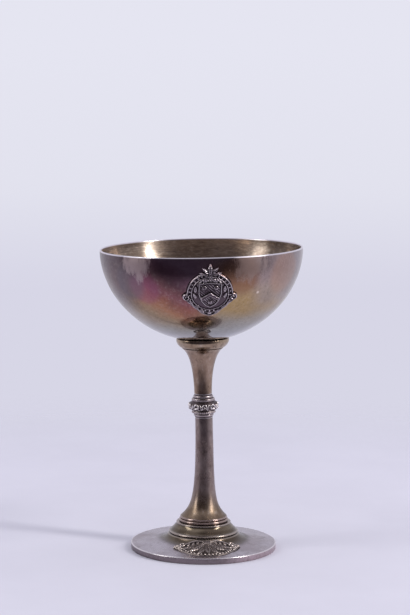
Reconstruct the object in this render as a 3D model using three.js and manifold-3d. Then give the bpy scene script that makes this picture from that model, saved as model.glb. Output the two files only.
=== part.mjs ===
// A small silver presentation goblet: a wide, round bowl on a slim trumpet stem with a cast knop at its
// middle, over a stepped, spun foot. A cast badge sits on the bowl and another on the foot.
// Everything above the lower stem leans a little to the side, as the bent original does.
// Millimetres, +Z up. Both badges face -Y. The origin lies on the surface that the foot stands on,
// under the middle of the bowl's rim.
import * as THREE from "three";
import Module from "manifold-3d";
import { mergeVertices } from "three/addons/utils/BufferGeometryUtils.js";

const wasm = await Module();
wasm.setup();

// Clearance left for the solder, between pieces whose faces are curved or turned
const FIT_GAP = 0.3;

// Bowl
const RIM_RADIUS = 47.5;
const BOWL_DEPTH = 43.75; // outside, from the rim down to the pole
const BOWL_FULLNESS = 1.95; // 2 gives a plain ellipse, and less a slimmer bowl
const BOWL_WALL = 0.9;

// Stem. The shaft is its slender part, on both sides of the knop.
const SHAFT_RADIUS = 4.18;
const LOWER_STEM_LENGTH = 47.0;
const LOWER_FLARE_LENGTH = 7.0;
const STEM_FOOT_RADIUS = 10.75;
const STEM_WALL = 1.1;
const STEM_TOP_PLATE = 2.0; // closes the top of the hollow lower stem
const UPPER_STEM_LENGTH = 22.1; // up to the groove under the collar
const UPPER_FLARE_LENGTH = 17.5;
const UPPER_FLARE_RADIUS = 9.7;
const LEAN = THREE.MathUtils.degToRad(1.25); // everything above the lower stem, towards -X

// Collar that cups the bowl
const COLLAR_RADIUS = 12.4;
const COLLAR_HEIGHT = 4.3;
const COLLAR_UNDERCUT = 2.2; // its underside curves in by this much
const COLLAR_LIP = 0.5;

// Knop
const KNOP_HEIGHT = 11.0;
const KNOP_LIP_STEP = 0.55; // each moulding stands out this far from the slimmer one beside it
const KNOP_RING_STEP = 0.75;
const KNOP_BAND_STEP = 1.0;
const KNOP_RELIEF = 0.6;
const KNOP_BOSSES = 10;

// Foot. Its mouldings step outwards from the lower stem.
const FOOT_RADIUS = 34.4;
const FOOT_WALL = 1.0;
const EDGE_HEIGHT = 2.9; // the upright band round the foot
const EDGE_WIDTH = 1.6; // how much of the band the goblet stands on
const EDGE_ROUND = 0.4;
const STEP_HEIGHT = 7.2; // where the sloping top meets the groove under the bead
const BEAD_THICKNESS = 1.1;
const COVE_SPREAD = 2.7;
const COVE_HEIGHT = 3.3;
const LIP_STEP = 1.2;
const LIP_HEIGHT = 0.6;
const REED_HEIGHT = 1.25;
const REED_ROUND = 0.2;
const WIDE_REED_STEP = 0.55;
const SLIM_REED_STEP = 0.4;
const GROOVE = 0.5; // depth of the turned grooves

// Badge on the bowl, with the height of its relief above the bowl
const BADGE_WIDTH = 24.4;
const BADGE_DROP = 15.0; // its middle, below the rim
const BADGE_GROUND = 0.7;
const BADGE_STRAP = 1.0;
const BADGE_FIELD = 1.25;
const BADGE_CHARGE = 1.6;

// Badge on the foot
const FOOT_BADGE_WIDTH = 31;
const FOOT_BADGE_TOP = 0.225; // its top edge above its middle, as a share of its width
const FOOT_BADGE_CLEARANCE = 0.6; // to the bead
const FOOT_BADGE_GROUND = 0.65;
const FOOT_BADGE_LEAF = 1.1;
const FOOT_BADGE_CURL = 1.5;

// Mesh fineness
const BOWL_SIDES = 44;
const BOWL_STEPS = 9;
const FOOT_SIDES = 40;
const STEM_SIDES = 24;
const KNOP_SIDES = 3 * KNOP_BOSSES;
const OUTLINE_STEPS = 4; // along each curve of a badge's outlines

// Radii and heights of the foot that follow from the sizes above
const SLIM_REED_RADIUS = STEM_FOOT_RADIUS + SLIM_REED_STEP;
const WIDE_REED_RADIUS = SLIM_REED_RADIUS + WIDE_REED_STEP;
const LIP_RADIUS = WIDE_REED_RADIUS + LIP_STEP;
const BEAD_RADIUS = LIP_RADIUS + COVE_SPREAD + 0.75 * BEAD_THICKNESS;
const BEAD_MIDDLE = STEP_HEIGHT + BEAD_THICKNESS;
const COVE_FOOT = BEAD_MIDDLE + 0.65 * BEAD_THICKNESS;
const LIP_FOOT = COVE_FOOT + COVE_HEIGHT;
const REED_FOOT = LIP_FOOT + LIP_HEIGHT + GROOVE / 2;
const SEAT_HEIGHT = REED_FOOT + 2 * REED_HEIGHT;

// Heights above the top of the lower stem, in the leaning part
const LEAN_HEIGHT = SEAT_HEIGHT + LOWER_STEM_LENGTH;
const UPPER_STEM_FOOT = KNOP_HEIGHT + 2 * FIT_GAP;
const COLLAR_FOOT = UPPER_STEM_FOOT + UPPER_STEM_LENGTH;
const COLLAR_TOP = COLLAR_FOOT + COLLAR_HEIGHT;
const SEAT_RADIUS = COLLAR_RADIUS - COLLAR_LIP;
const RIM_HEIGHT = COLLAR_TOP + FIT_GAP + bowlDrop(SEAT_RADIUS);

// One side of the bowl's outline from the other, both as shares of their greatest
function rounded(share) {
  return (1 - share ** BOWL_FULLNESS) ** (1 / BOWL_FULLNESS);
}

// How far the bowl's outside lies below the rim, at a radius from its axis
function bowlDrop(radius) {
  return BOWL_DEPTH * rounded(radius / RIM_RADIUS);
}

function point(radius, height) {
  return new THREE.Vector2(radius, height);
}

// Points along a cubic curve from start to end, both included
function curvePoints(start, startPull, endPull, end, steps) {
  return new THREE.CubicBezierCurve(start, startPull, endPull, end).getPoints(steps);
}

// Points on an arc, between two angles in degrees
function arcPoints(centre, radius, fromDegrees, toDegrees, steps) {
  const points = [];
  for (let i = 0; i <= steps; i++) {
    const angle = THREE.MathUtils.degToRad(fromDegrees + ((toDegrees - fromDegrees) * i) / steps);
    points.push(point(centre.x + radius * Math.cos(angle), centre.y + radius * Math.sin(angle)));
  }
  return points;
}

// A turned body: a profile of radii and heights, spun round the Z axis
function turned(profile, sides) {
  return new THREE.LatheGeometry(profile, sides).rotateX(Math.PI / 2);
}

function solidOf(geometry) {
  const plain = geometry.index ? geometry.toNonIndexed() : geometry;
  const positions = new THREE.BufferGeometry().setAttribute("position", plain.getAttribute("position"));
  const merged = mergeVertices(positions, 1e-4);
  const vertProperties = merged.attributes.position.array;
  const triVerts = new Uint32Array(merged.index.array);
  return new wasm.Manifold(new wasm.Mesh({ numProp: 3, vertProperties, triVerts }));
}

function geometryOf(solid) {
  const mesh = solid.getMesh();
  const geometry = new THREE.BufferGeometry();
  geometry.setAttribute("position", new THREE.BufferAttribute(new Float32Array(mesh.vertProperties), 3));
  geometry.setIndex(new THREE.BufferAttribute(new Uint32Array(mesh.triVerts), 1));
  geometry.computeVertexNormals();
  return geometry;
}

// Points down half of the bowl's outline, from the rim plane at height 0 to the pole
function bowlCurve(radius, depth, steps) {
  const points = [point(radius, 0)];
  for (let i = 1; i < steps; i++) {
    const share = Math.sin((i / steps) * (Math.PI / 2)) ** (2 / BOWL_FULLNESS);
    points.push(point(radius * rounded(share), -depth * share));
  }
  points.push(point(0, -depth));
  return points;
}

// The hollow bowl, with a rounded rim in the plane z = 0
function bowlGeometry() {
  const rimRound = BOWL_WALL / 2;
  const rim = arcPoints(point(RIM_RADIUS - rimRound, -rimRound), rimRound, 0, 180, 4);
  const outside = bowlCurve(RIM_RADIUS, BOWL_DEPTH, BOWL_STEPS).slice(1).reverse();
  const inside = bowlCurve(RIM_RADIUS - BOWL_WALL, BOWL_DEPTH - BOWL_WALL, BOWL_STEPS - 1).slice(1);
  return turned([...outside, ...rim, ...inside], BOWL_SIDES);
}

// The collar's outline, from its root in the groove up to the lip that meets the bowl
function collarOutline() {
  const root = point(COLLAR_RADIUS - COLLAR_UNDERCUT, COLLAR_FOOT);
  const widest = point(COLLAR_RADIUS, COLLAR_TOP - 0.4 * COLLAR_HEIGHT);
  const rootPull = point(root.x + 0.5 * COLLAR_UNDERCUT, root.y + 0.12 * COLLAR_HEIGHT);
  const widestPull = point(widest.x, widest.y - 0.25 * COLLAR_HEIGHT);
  return [
    ...curvePoints(root, rootPull, widestPull, widest, 4),
    point(COLLAR_RADIUS, COLLAR_TOP - COLLAR_LIP),
    point(SEAT_RADIUS, COLLAR_TOP),
  ];
}

// The upper stem: a trumpet that flares up to a groove and to the rounded collar
function upperStemGeometry() {
  const flareFoot = COLLAR_FOOT - UPPER_FLARE_LENGTH;
  const flareTop = point(UPPER_FLARE_RADIUS, COLLAR_FOOT - GROOVE);
  const flareSpread = UPPER_FLARE_RADIUS - SHAFT_RADIUS;
  const topPull = point(SHAFT_RADIUS + 0.09 * flareSpread, flareTop.y - 0.2 * UPPER_FLARE_LENGTH);
  const flare = curvePoints(
    point(SHAFT_RADIUS, UPPER_STEM_FOOT),
    point(SHAFT_RADIUS, flareFoot),
    topPull,
    flareTop,
    8,
  );
  const groove = point(UPPER_FLARE_RADIUS - GROOVE / 2, COLLAR_FOOT - GROOVE / 2);
  const seat = [];
  for (const share of [0.75, 0.45, 0]) {
    const radius = share * SEAT_RADIUS;
    seat.push(point(radius, RIM_HEIGHT - FIT_GAP - bowlDrop(radius)));
  }
  return turned([point(0, UPPER_STEM_FOOT), ...flare, groove, ...collarOutline(), ...seat], STEM_SIDES);
}

// The lower stem's outline, from its flared foot up to a height, or the same thinned by the wall
function lowerStemCurve(inset, top, steps) {
  const spread = STEM_FOOT_RADIUS - SHAFT_RADIUS;
  return curvePoints(
    point(STEM_FOOT_RADIUS - inset, SEAT_HEIGHT),
    point(SHAFT_RADIUS + 0.25 * spread - inset, SEAT_HEIGHT + 0.7 * LOWER_FLARE_LENGTH),
    point(SHAFT_RADIUS - inset, SEAT_HEIGHT + LOWER_FLARE_LENGTH),
    point(SHAFT_RADIUS - inset, top),
    steps,
  );
}

// The lower stem: a tapering tube, open below and closed by a plate at its top
function lowerStemGeometry() {
  const boreTop = LEAN_HEIGHT - STEM_TOP_PLATE;
  const bore = lowerStemCurve(STEM_WALL, boreTop, 6).reverse();
  const outside = lowerStemCurve(0, LEAN_HEIGHT, 10);
  return turned([point(0, boreTop), ...bore, ...outside, point(0, LEAN_HEIGHT)], STEM_SIDES);
}

// The knop's turned outline: at each end a lip and a ring, and between them the band with the relief
function knopProfile() {
  const half = KNOP_HEIGHT / 2;
  const lip = SHAFT_RADIUS + KNOP_LIP_STEP;
  const ring = lip + KNOP_RING_STEP;
  const band = ring + KNOP_BAND_STEP;
  const upper = [
    point(band, 0.17 * half),
    point(band - 0.25 * KNOP_BAND_STEP, 0.33 * half),
    point(ring - 0.3 * KNOP_RING_STEP, 0.4 * half),
    point(ring, 0.47 * half),
    point(ring, 0.6 * half),
    point(lip - 0.4 * KNOP_LIP_STEP, 0.68 * half),
    point(lip, 0.75 * half),
    point(lip, 0.85 * half),
    point(SHAFT_RADIUS, 0.91 * half),
    point(SHAFT_RADIUS, half),
    point(0, half),
  ];
  const lower = upper.map((p) => point(p.x, -p.y)).reverse();
  return [...lower, point(band, 0), ...upper].map((p) => point(p.x, p.y + half));
}

// The cast knop: the bosses swell out of its turned band
function knopGeometry() {
  const geometry = turned(knopProfile(), KNOP_SIDES);
  const position = geometry.getAttribute("position");
  const bandHalf = 0.36 * (KNOP_HEIGHT / 2);
  for (let i = 0; i < position.count; i++) {
    const place = new THREE.Vector3().fromBufferAttribute(position, i);
    const offset = (place.z - KNOP_HEIGHT / 2) / bandHalf;
    if (Math.abs(offset) >= 1) continue;
    const radius = Math.hypot(place.x, place.y);
    const wave = 0.5 - 0.5 * Math.cos(Math.atan2(place.y, place.x) * KNOP_BOSSES);
    const growth = 1 + (KNOP_RELIEF * wave * Math.cos((offset * Math.PI) / 2)) / radius;
    position.setXY(i, place.x * growth, place.y * growth);
  }
  return geometry;
}

// The foot's sloping top, from its edge band in to the groove under the bead
function footSlope(steps) {
  const edge = point(FOOT_RADIUS - EDGE_ROUND, EDGE_HEIGHT);
  const step = point(BEAD_RADIUS + GROOVE, STEP_HEIGHT);
  const run = edge.x - step.x;
  const rise = step.y - edge.y;
  const edgePull = point(edge.x - 0.58 * run, edge.y + 0.14 * rise);
  const stepPull = point(step.x + 0.08 * run, step.y - 0.62 * rise);
  return curvePoints(edge, edgePull, stepPull, step, steps);
}

// The hollow moulding between the bead and the lip
function footCove(steps) {
  const low = point(LIP_RADIUS + COVE_SPREAD, COVE_FOOT);
  const high = point(LIP_RADIUS, LIP_FOOT);
  const lowPull = point(low.x - 0.26 * COVE_SPREAD, low.y + 0.27 * COVE_HEIGHT);
  const highPull = point(high.x + 0.06 * COVE_SPREAD, high.y - 0.3 * COVE_HEIGHT);
  return curvePoints(low, lowPull, highPull, high, steps);
}

// One ring of the double reed, standing on a height
function reedOutline(radius, foot) {
  return [
    point(radius - REED_ROUND, foot),
    point(radius, foot + REED_ROUND),
    point(radius, foot + REED_HEIGHT - REED_ROUND),
    point(radius - REED_ROUND, foot + REED_HEIGHT),
  ];
}

// The stepped foot: a spun shell, open underneath and up into the stem
function footGeometry() {
  const beadRound = BEAD_THICKNESS / 2;
  const outside = [
    point(FOOT_RADIUS - EDGE_ROUND, 0),
    point(FOOT_RADIUS, EDGE_ROUND),
    point(FOOT_RADIUS, EDGE_HEIGHT - EDGE_ROUND),
    ...footSlope(6),
    ...arcPoints(point(BEAD_RADIUS - beadRound, BEAD_MIDDLE), beadRound, -80, 60, 3),
    ...footCove(3),
    point(LIP_RADIUS - LIP_HEIGHT, LIP_FOOT + LIP_HEIGHT),
    point(WIDE_REED_RADIUS - GROOVE, LIP_FOOT + LIP_HEIGHT),
    ...reedOutline(WIDE_REED_RADIUS, REED_FOOT),
    ...reedOutline(SLIM_REED_RADIUS, REED_FOOT + REED_HEIGHT),
  ];
  const boreRadius = STEM_FOOT_RADIUS - STEM_WALL;
  const rest = FOOT_RADIUS - EDGE_WIDTH;
  const underSlope = footSlope(4).reverse();
  const inside = [
    point(boreRadius, SEAT_HEIGHT),
    point(boreRadius, LIP_FOOT + LIP_HEIGHT - FOOT_WALL),
    point(LIP_RADIUS - FOOT_WALL, LIP_FOOT - FOOT_WALL),
    point(LIP_RADIUS + COVE_SPREAD - FOOT_WALL, COVE_FOOT - FOOT_WALL),
    ...underSlope.map((p) => point(Math.min(p.x - FOOT_WALL, rest), p.y - FOOT_WALL)),
    point(rest, 0),
  ];
  return turned([...outside, ...inside, outside[0]], FOOT_SIDES);
}

function ovalShape(x, y, radiusX, radiusY, turn = 0) {
  return new THREE.Shape().absellipse(x, y, radiusX, radiusY, 0, 2 * Math.PI, false, turn);
}

// An outline that is alike on both sides of x = 0, from the points of its right side, lowest first
function mirroredShape(rightSide) {
  const right = rightSide.map(([x, y]) => new THREE.Vector2(x, y));
  const left = right.filter((p) => p.x > 0).map((p) => new THREE.Vector2(-p.x, p.y));
  return new THREE.Shape([...right, ...left.reverse()]);
}

// A pointed leaf from its base to its tip
function leafShape(baseX, baseY, tipX, tipY, width) {
  const base = new THREE.Vector2(baseX, baseY);
  const along = new THREE.Vector2(tipX, tipY).sub(base);
  const aside = new THREE.Vector2(-along.y, along.x).normalize().multiplyScalar(width / 2);
  const edge = (share, side) => base.clone().addScaledVector(along, share).addScaledVector(aside, side);
  return new THREE.Shape([base, edge(0.35, -1), edge(0.7, -0.8), edge(1, 0), edge(0.7, 0.8), edge(0.35, 1)]);
}

// The relief of the badge on the bowl: outlines, and how high each stands. x runs across the badge and
// y up it, both as shares of its width.
function bowlBadgeLayers() {
  const ring = ovalShape(0, -0.06, 0.43, 0.43);
  ring.holes.push(ovalShape(0, -0.06, 0.34, 0.34));
  const drop = [[0, -0.58], [0.14, -0.52], [0.29, -0.36], [0.44, -0.2], [0.46, -0.1], [0, 0.2]];
  const shield = [[0, -0.36], [0.09, -0.31], [0.17, -0.21], [0.22, -0.06], [0.22, 0.16], [0, 0.19]];
  const chevron = [[0, -0.1], [0.17, -0.21], [0.17, -0.13], [0, -0.01]];
  const layers = [
    { shape: ovalShape(0, -0.06, 0.43, 0.43), height: BADGE_GROUND },
    { shape: mirroredShape(drop), height: BADGE_GROUND },
    { shape: ring, height: BADGE_STRAP },
    { shape: mirroredShape(shield), height: BADGE_FIELD },
    { shape: mirroredShape(chevron), height: BADGE_CHARGE },
    { shape: leafShape(0, 0.33, 0, 0.525, 0.11), height: BADGE_CHARGE },
    { shape: ovalShape(0, -0.5, 0.055, 0.055), height: BADGE_CHARGE },
  ];
  for (const side of [-1, 1]) {
    layers.push({ shape: ovalShape(0.455 * side, -0.14, 0.05, 0.05), height: BADGE_CHARGE });
    layers.push({ shape: leafShape(0.02 * side, 0.35, 0.15 * side, 0.45, 0.07), height: BADGE_CHARGE });
    for (let i = 0; i < 3; i++) {
      const x = (0.1 + 0.11 * i) * side;
      const y = -0.47 + 0.1 * i;
      layers.push({ shape: leafShape(x, y, x + 0.12 * side, y + 0.06, 0.08), height: BADGE_FIELD });
    }
  }
  return layers;
}

// The relief of the badge on the foot, in the same way: a palmette whose root is towards the stem
function footBadgeLayers() {
  const spray = [
    [0, -0.225], [0.15, -0.21], [0.29, -0.12], [0.43, 0.035], [0.5, 0.19], [0.33, 0.265], [0, FOOT_BADGE_TOP],
  ];
  const rootY = 0.17;
  const layers = [
    { shape: mirroredShape(spray), height: FOOT_BADGE_GROUND },
    { shape: ovalShape(0, rootY, 0.07, 0.045), height: FOOT_BADGE_CURL },
  ];
  for (let i = -3; i <= 3; i++) {
    const angle = THREE.MathUtils.degToRad(25 * i);
    const across = Math.sin(angle);
    const down = Math.cos(angle);
    const tip = 0.34 + 0.012 * Math.abs(i);
    const leaf = leafShape(0.05 * across, rootY - 0.03 * down, tip * across, rootY - tip * down, 0.1);
    layers.push({ shape: leaf, height: i % 2 ? FOOT_BADGE_LEAF : FOOT_BADGE_CURL });
  }
  for (const side of [-1, 1]) {
    layers.push({ shape: ovalShape(0.36 * side, 0.2, 0.04, 0.04), height: FOOT_BADGE_CURL });
    layers.push({ shape: ovalShape(0.45 * side, 0.175, 0.035, 0.035), height: FOOT_BADGE_CURL });
  }
  return layers;
}

// Builds a badge. skinAt gives the piece beneath, swollen by a height. place puts a prism, which runs
// along Z through the origin, where the badge is.
function badgeSolid(layers, width, skinAt, place) {
  let badge = null;
  for (const { shape, height } of layers) {
    const options = { depth: 1, bevelEnabled: false, curveSegments: OUTLINE_STEPS };
    const block = new THREE.ExtrudeGeometry(shape, options);
    block.translate(0, 0, -0.5).scale(width, width, width);
    const layer = place(solidOf(block)).intersect(skinAt(height));
    badge = badge ? badge.add(layer) : layer;
  }
  return badge.subtract(skinAt(FIT_GAP));
}

// The badge on the bowl, in the bowl's own frame
function bowlBadgeGeometry() {
  // The skin goes on above the rim as a whole egg, so that only its outside meets the badge
  const skinAt = (swell) => {
    const lower = bowlCurve(RIM_RADIUS + swell, BOWL_DEPTH + swell, BOWL_STEPS);
    const upper = lower.slice(1).map((p) => point(p.x, -p.y));
    return solidOf(turned([...lower.reverse(), ...upper], BOWL_SIDES));
  };
  const radius = RIM_RADIUS * rounded(BADGE_DROP / BOWL_DEPTH);
  const steepness = (share) => share ** (BOWL_FULLNESS - 1);
  const outward = new THREE.Vector3(
    0,
    -steepness(radius / RIM_RADIUS) / RIM_RADIUS,
    -steepness(BADGE_DROP / BOWL_DEPTH) / BOWL_DEPTH,
  ).normalize();
  const across = new THREE.Vector3(1, 0, 0);
  const upward = outward.clone().cross(across);
  const frame = new THREE.Matrix4().makeBasis(across, upward, outward);
  frame.setPosition(0, -radius, -BADGE_DROP);
  const place = (block) => block.transform(frame.elements);
  return geometryOf(badgeSolid(bowlBadgeLayers(), BADGE_WIDTH, skinAt, place));
}

// The badge on the foot, in the foot's own frame
function footBadgeGeometry() {
  const form = [point(0, 0), point(FOOT_RADIUS, 0), ...footSlope(6), point(0, STEP_HEIGHT)];
  const skinAt = (swell) => solidOf(turned(form, FOOT_SIDES).translate(0, 0, swell));
  const inner = BEAD_RADIUS + FOOT_BADGE_CLEARANCE;
  const middle = inner + FOOT_BADGE_TOP * FOOT_BADGE_WIDTH;
  const place = (block) => block.translate([0, -middle, 0]);
  const badge = badgeSolid(footBadgeLayers(), FOOT_BADGE_WIDTH, skinAt, place);
  const top = 2 * STEP_HEIGHT;
  const core = turned([point(0, 0), point(inner, 0), point(inner, top), point(0, top)], FOOT_SIDES);
  return geometryOf(badge.subtract(solidOf(core)));
}

// Finishes: silver in different states of tarnish and wear
const tarnished = new THREE.MeshStandardMaterial({ color: 0x8a7f7c, roughness: 0.22, metalness: 1 });
const worn = new THREE.MeshStandardMaterial({ color: 0x9c9286, roughness: 0.25, metalness: 1 });
const rubbed = new THREE.MeshStandardMaterial({ color: 0xaaa5a8, roughness: 0.35, metalness: 1 });
const oxidised = new THREE.MeshStandardMaterial({ color: 0x77706f, roughness: 0.35, metalness: 1 });

function piece(name, geometry, material, height = 0) {
  const mesh = new THREE.Mesh(geometry, material);
  mesh.name = name;
  mesh.position.z = height;
  return mesh;
}

// The bent part turns about the top of the lower stem
const leaning = new THREE.Group();
leaning.position.z = LEAN_HEIGHT;
leaning.rotation.y = -LEAN;
leaning.add(piece("knop", knopGeometry(), oxidised, FIT_GAP));
leaning.add(piece("upper_stem", upperStemGeometry(), worn));
leaning.add(piece("bowl", bowlGeometry(), tarnished, RIM_HEIGHT));
leaning.add(piece("bowl_badge", bowlBadgeGeometry(), oxidised, RIM_HEIGHT));

const goblet = new THREE.Group();
goblet.add(piece("foot", footGeometry(), rubbed));
goblet.add(piece("foot_badge", footBadgeGeometry(), oxidised));
goblet.add(piece("lower_stem", lowerStemGeometry(), worn));
goblet.add(leaning);
goblet.position.x = RIM_HEIGHT * Math.sin(LEAN);

export default goblet;
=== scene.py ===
# The looks of a small silver presentation goblet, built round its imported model.
# The badges face -Y. Sizes are in millimetres and become metres when a mesh is made.
import math

import bpy
import numpy as np
from mathutils import Matrix, Vector


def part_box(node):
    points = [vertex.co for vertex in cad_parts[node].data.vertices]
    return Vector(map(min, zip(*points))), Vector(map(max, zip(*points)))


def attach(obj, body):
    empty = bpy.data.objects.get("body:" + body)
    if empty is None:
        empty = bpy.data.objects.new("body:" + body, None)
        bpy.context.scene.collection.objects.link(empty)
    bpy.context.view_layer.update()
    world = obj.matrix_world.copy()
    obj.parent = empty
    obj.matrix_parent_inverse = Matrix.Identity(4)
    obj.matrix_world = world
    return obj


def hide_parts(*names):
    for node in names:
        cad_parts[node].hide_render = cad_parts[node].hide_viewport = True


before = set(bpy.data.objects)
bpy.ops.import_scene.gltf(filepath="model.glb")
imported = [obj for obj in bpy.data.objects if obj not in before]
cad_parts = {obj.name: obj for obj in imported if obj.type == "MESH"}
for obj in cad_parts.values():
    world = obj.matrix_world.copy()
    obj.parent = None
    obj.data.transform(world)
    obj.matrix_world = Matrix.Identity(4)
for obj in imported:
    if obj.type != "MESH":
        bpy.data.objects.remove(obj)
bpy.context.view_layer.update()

MM = 0.001
EMBED = 0.45  # how deep a cast badge sits in the metal under it, out of sight

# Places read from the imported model
FOOT_LOW, FOOT_HIGH = (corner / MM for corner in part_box("foot"))
AXIS_X = (FOOT_LOW.x + FOOT_HIGH.x) / 2  # the foot's own axis
FOOT_RADIUS = (FOOT_HIGH.x - FOOT_LOW.x) / 2
SEAT_HEIGHT = FOOT_HIGH.z  # where the lower stem stands on the foot
LEAN_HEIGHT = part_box("lower_stem")[1].z / MM  # where the bent part begins

# Camera, solved from the ellipses of the rim and the foot
CAMERA_DISTANCE = 956.55  # in front of the foot's axis
CAMERA_ASIDE = -1.16
CAMERA_HEIGHT = 236.1
CAMERA_PITCH = 7.221
CAMERA_YAW = -0.078
CAMERA_ROLL = 0.315
CAMERA_LENS = 120.28
BADGE_TURN = 4.85  # degrees from the camera's direction to the side with the badges

# Bowl
RIM_RADIUS = 47.5
BOWL_DEPTH = 43.75
BOWL_FULLNESS = 1.95  # 2 is an ellipse, and less is slimmer between the rim and the pole
BOWL_WALL = 0.9
BOWL_SIDES = 256

# Stem
FIT_GAP = 0.3
LEAN = math.radians(1.25)
BOW = 0.3  # how far the stem bends to each side
BOW_FROM = 14.0  # heights on the stem where the bow begins and ends
BOW_TO = 102.0
SHAFT_RADIUS = 4.18
LOWER_FLARE_LENGTH = 7.0
STEM_FOOT_RADIUS = 10.75
STEM_WALL = 1.1
STEM_TOP_PLATE = 2.0
KNOP_HEIGHT = 11.0
UPPER_STEM_LENGTH = 22.1
UPPER_FLARE_LENGTH = 17.5
UPPER_FLARE_RADIUS = 9.7
COLLAR_RADIUS = 12.4
COLLAR_HEIGHT = 4.3
COLLAR_UNDERCUT = 2.2
COLLAR_LIP = 0.5

# Knop
KNOP_LIP_STEP = 0.55
KNOP_RING_STEP = 0.75
KNOP_BAND_STEP = 1.0
KNOP_RELIEF = 0.6
KNOP_REPEATS = 5  # pairs of one palmette and one drilled volute
KNOP_PEARLS = 34
KNOP_PEARL_DROP = 3.02445  # how far the ring of pearls lies below the knop's middle
KNOP_RELIEF_REACH = 1.75  # how far the relief runs up and down from the knop's middle
KNOP_LIP_RADIUS = SHAFT_RADIUS + KNOP_LIP_STEP
KNOP_RING_RADIUS = KNOP_LIP_RADIUS + KNOP_RING_STEP
KNOP_BAND_RADIUS = KNOP_RING_RADIUS + KNOP_BAND_STEP

# Foot
FOOT_WALL = 1.0
EDGE_HEIGHT = 2.9
EDGE_WIDTH = 1.6
EDGE_ROUND = 0.4
STEP_HEIGHT = 7.2
BEAD_THICKNESS = 1.1
COVE_SPREAD = 2.7
COVE_HEIGHT = 3.3
LIP_STEP = 1.2
LIP_HEIGHT = 0.6
REED_HEIGHT = 1.25
WIDE_REED_STEP = 0.55
SLIM_REED_STEP = 0.4
GROOVE = 0.5

SLIM_REED_RADIUS = STEM_FOOT_RADIUS + SLIM_REED_STEP
WIDE_REED_RADIUS = SLIM_REED_RADIUS + WIDE_REED_STEP
LIP_RADIUS = WIDE_REED_RADIUS + LIP_STEP
BEAD_RADIUS = LIP_RADIUS + COVE_SPREAD + 0.75 * BEAD_THICKNESS
BEAD_MIDDLE = STEP_HEIGHT + BEAD_THICKNESS
COVE_FOOT = BEAD_MIDDLE + 0.65 * BEAD_THICKNESS
LIP_FOOT = COVE_FOOT + COVE_HEIGHT
REED_FOOT = LIP_FOOT + LIP_HEIGHT + GROOVE / 2

# Heights in the leaning part, above LEAN_HEIGHT
UPPER_STEM_FOOT = KNOP_HEIGHT + 2 * FIT_GAP
COLLAR_FOOT = UPPER_STEM_FOOT + UPPER_STEM_LENGTH
COLLAR_TOP = COLLAR_FOOT + COLLAR_HEIGHT
SEAT_RADIUS = COLLAR_RADIUS - COLLAR_LIP

# Badges. Heights are above the metal they sit on.
BADGE_WIDTH = 24.4
BADGE_DROP = 15.0
BADGE_GROUND = 0.55
BADGE_STRAP = 0.95
BADGE_FIELD = 1.15
BADGE_CHARGE = 1.55
FOOT_BADGE_WIDTH = 31.0
FOOT_BADGE_TOP = 0.225
FOOT_BADGE_CLEARANCE = 0.6
FOOT_BADGE_GROUND = 0.5
FOOT_BADGE_LEAF = 1.1
FOOT_BADGE_CURL = 1.45


def rounded(share):
    """The other side of the bowl's curve: 1 at a share of 0, and 0 at a share of 1."""
    return (1 - share**BOWL_FULLNESS) ** (1 / BOWL_FULLNESS)


def bowl_drop(radius):
    """How far the bowl's outside lies below the rim, at a radius from its axis."""
    return BOWL_DEPTH * rounded(radius / RIM_RADIUS)


RIM_HEIGHT = COLLAR_TOP + FIT_GAP + bowl_drop(SEAT_RADIUS)
UPRIGHT = Matrix.Translation((AXIS_X, 0, 0))
LEANING = Matrix.Translation((AXIS_X, 0, LEAN_HEIGHT)) @ Matrix.Rotation(-LEAN, 4, "Y")
BOWL_PLACE = LEANING @ Matrix.Translation((0, 0, RIM_HEIGHT))


# Outlines: arrays of radius and height


def curve(start, start_pull, end_pull, end, steps):
    """Points along a cubic curve, both ends included."""
    t = np.linspace(0, 1, steps + 1)[:, None]
    a, b, c, d = (np.array(p, float) for p in (start, start_pull, end_pull, end))
    return (1 - t) ** 3 * a + 3 * (1 - t) ** 2 * t * b + 3 * (1 - t) * t**2 * c + t**3 * d


def arc(centre, radius, from_degrees, to_degrees, steps):
    angle = np.radians(np.linspace(from_degrees, to_degrees, steps + 1))
    return np.stack([centre[0] + radius * np.cos(angle), centre[1] + radius * np.sin(angle)], 1)


def line(start, end, steps):
    t = np.linspace(0, 1, steps + 1)[:, None]
    return (1 - t) * np.array(start, float) + t * np.array(end, float)


def joined(*parts):
    """One outline from several, without the points that repeat at the joints."""
    points = np.concatenate([np.atleast_2d(np.array(p, float)) for p in parts])
    step = np.linalg.norm(np.diff(points, axis=0), axis=1)
    return points[np.concatenate([[True], step > 1e-4])]


def spaced(points, spacing):
    """The same outline with points added, so that none are further apart than the spacing."""
    made = [points[:1]]
    for a, b in zip(points[:-1], points[1:]):
        steps = max(1, math.ceil(np.linalg.norm(b - a) / spacing))
        made.append(line(a, b, steps)[1:])
    return np.concatenate(made)


def hollowness(outline, reach=0.35):
    """How hollow an outline is at each point, from -1 on a sharp edge to 1 in a groove."""
    step = np.linalg.norm(np.diff(outline, axis=0), axis=1)
    along = np.concatenate([[0], np.cumsum(step)])
    sides = []
    for offset in (-reach, reach):
        place = np.clip(along + offset, 0, along[-1])
        sides.append(np.stack([np.interp(place, along, outline[:, i]) for i in range(2)], 1))
    tangent = sides[1] - sides[0]
    tangent /= np.maximum(np.linalg.norm(tangent, axis=1, keepdims=True), 1e-9)
    normal = np.stack([tangent[:, 1], -tangent[:, 0]], 1)
    middle = (sides[0] + sides[1]) / 2 - outline
    return np.clip(2 * np.sum(middle * normal, axis=1) / reach, -1, 1)


# Meshes


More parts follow.
